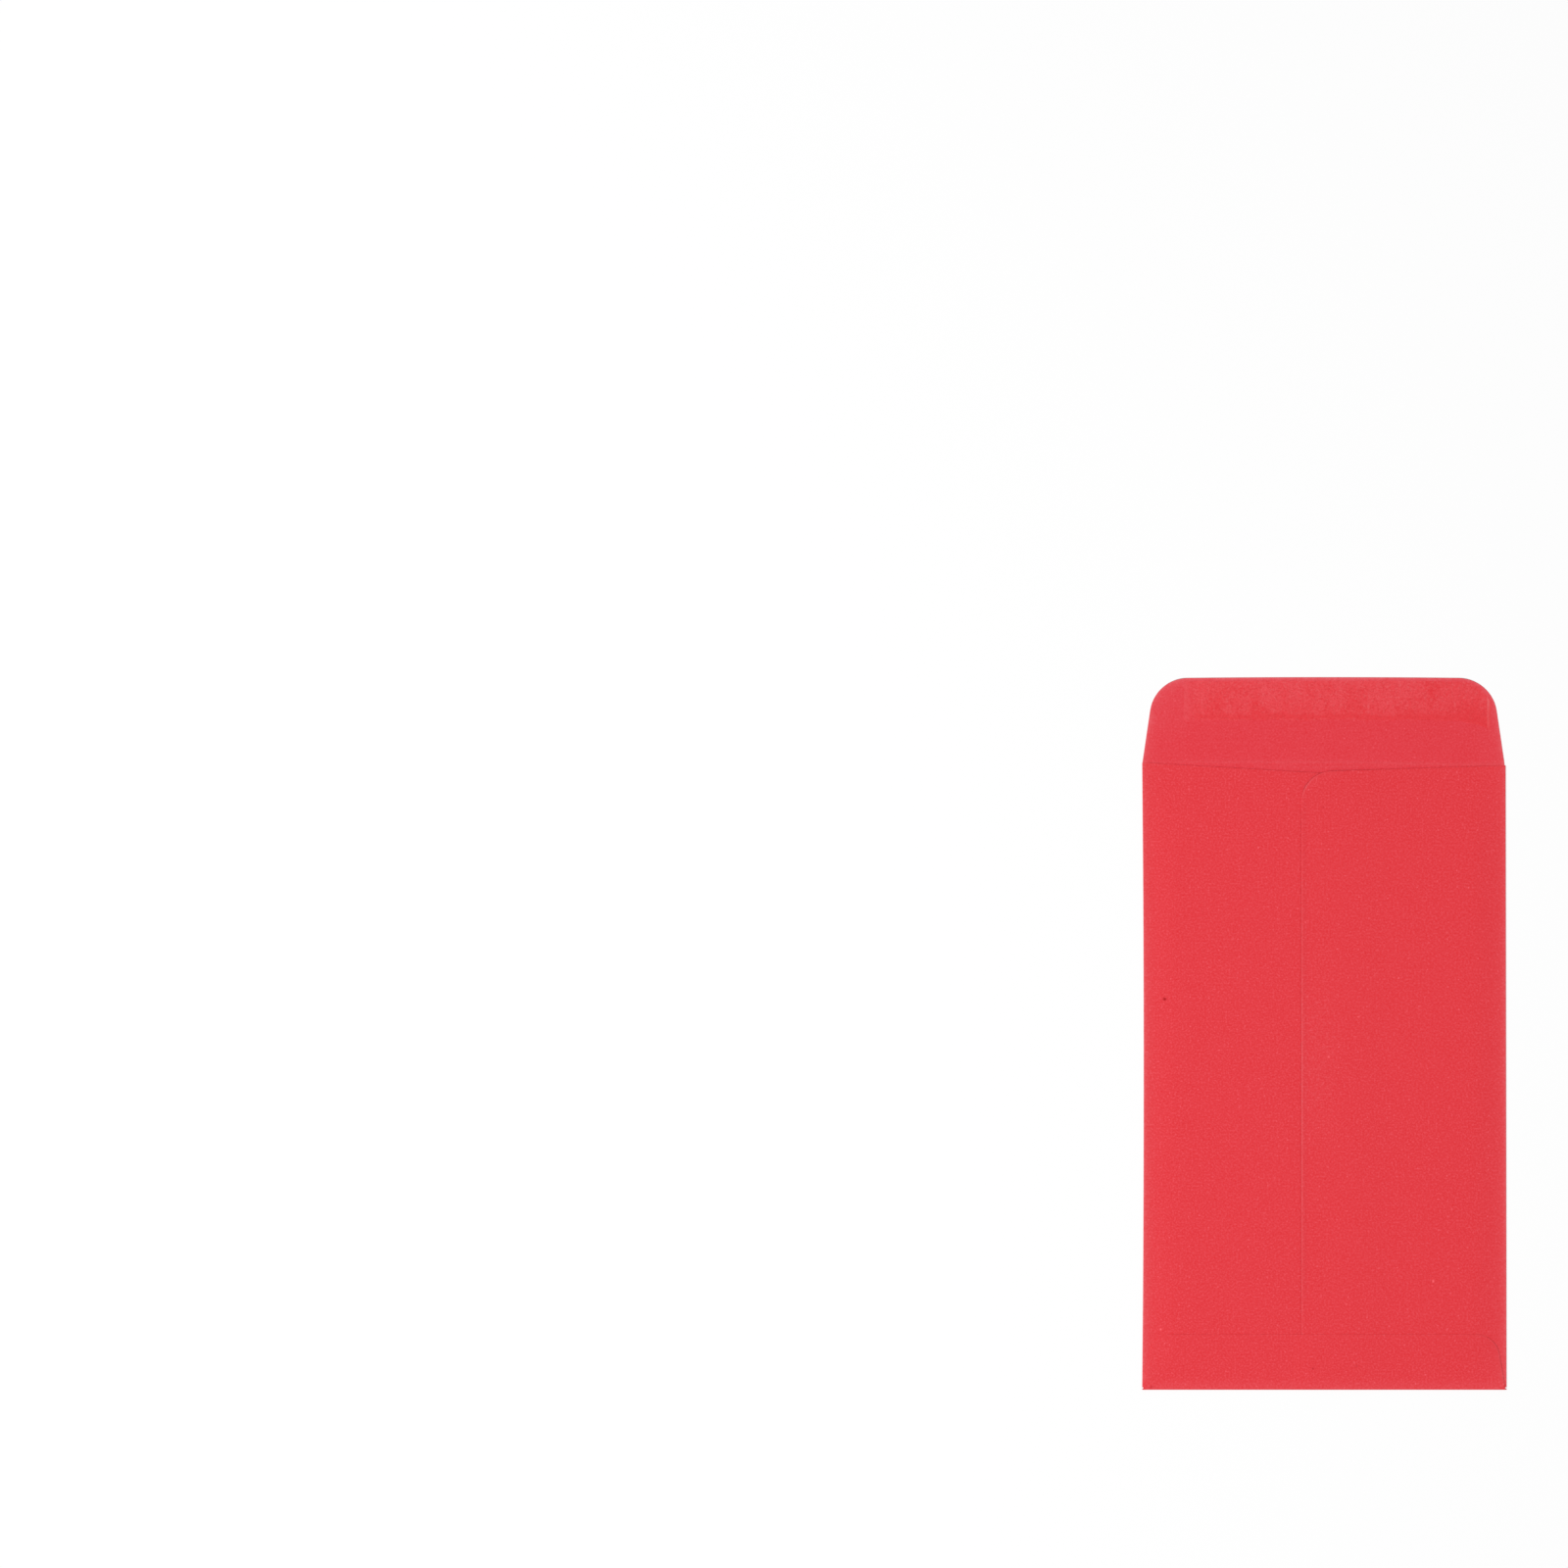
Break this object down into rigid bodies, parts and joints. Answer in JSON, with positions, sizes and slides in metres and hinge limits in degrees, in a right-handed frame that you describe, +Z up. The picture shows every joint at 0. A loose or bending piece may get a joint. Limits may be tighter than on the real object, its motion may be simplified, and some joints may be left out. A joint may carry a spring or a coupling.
{
  "type": "cash envelope",
  "caption": "Flat red paper cash envelope, open at its short end, with a lapped back seam, a glued bottom flap and a hinged gummed seal flap with rounded corners.",
  "frame": {"origin": "centre of the front panel's outside face, which is the face that the envelope lies on", "axes": "+X across the pocket to the right as seen from the back, +Y along the pocket from the bottom fold to the mouth and the open seal flap, +Z up out of the back"},
  "size_m": [0.095, 0.1862, 0.0013],
  "materials": {
    "paper": "matte",
    "gum": "satin",
    "glue": "satin"
  },
  "bodies": {
    "pocket": {"front_panel": "paper", "left_fold": "paper", "right_fold": "paper", "bottom_fold": "paper", "left_back_panel": "paper", "right_back_panel": "paper", "seam_glue": "glue", "bottom_flap": "paper", "bottom_flap_glue": "glue", "flap_crease": "paper"},
    "flap": {"seal_flap": "paper", "gum_strip": "gum"}
  },
  "joints": [
    {"name": "flap_fold", "type": "hinge", "parent": "pocket", "child": "flap", "pos_m": [0, 0.082, 0.0007], "axis": [1, 0, 0], "range_deg": [0, 180], "deforming": ["flap_crease"]}
  ]
}
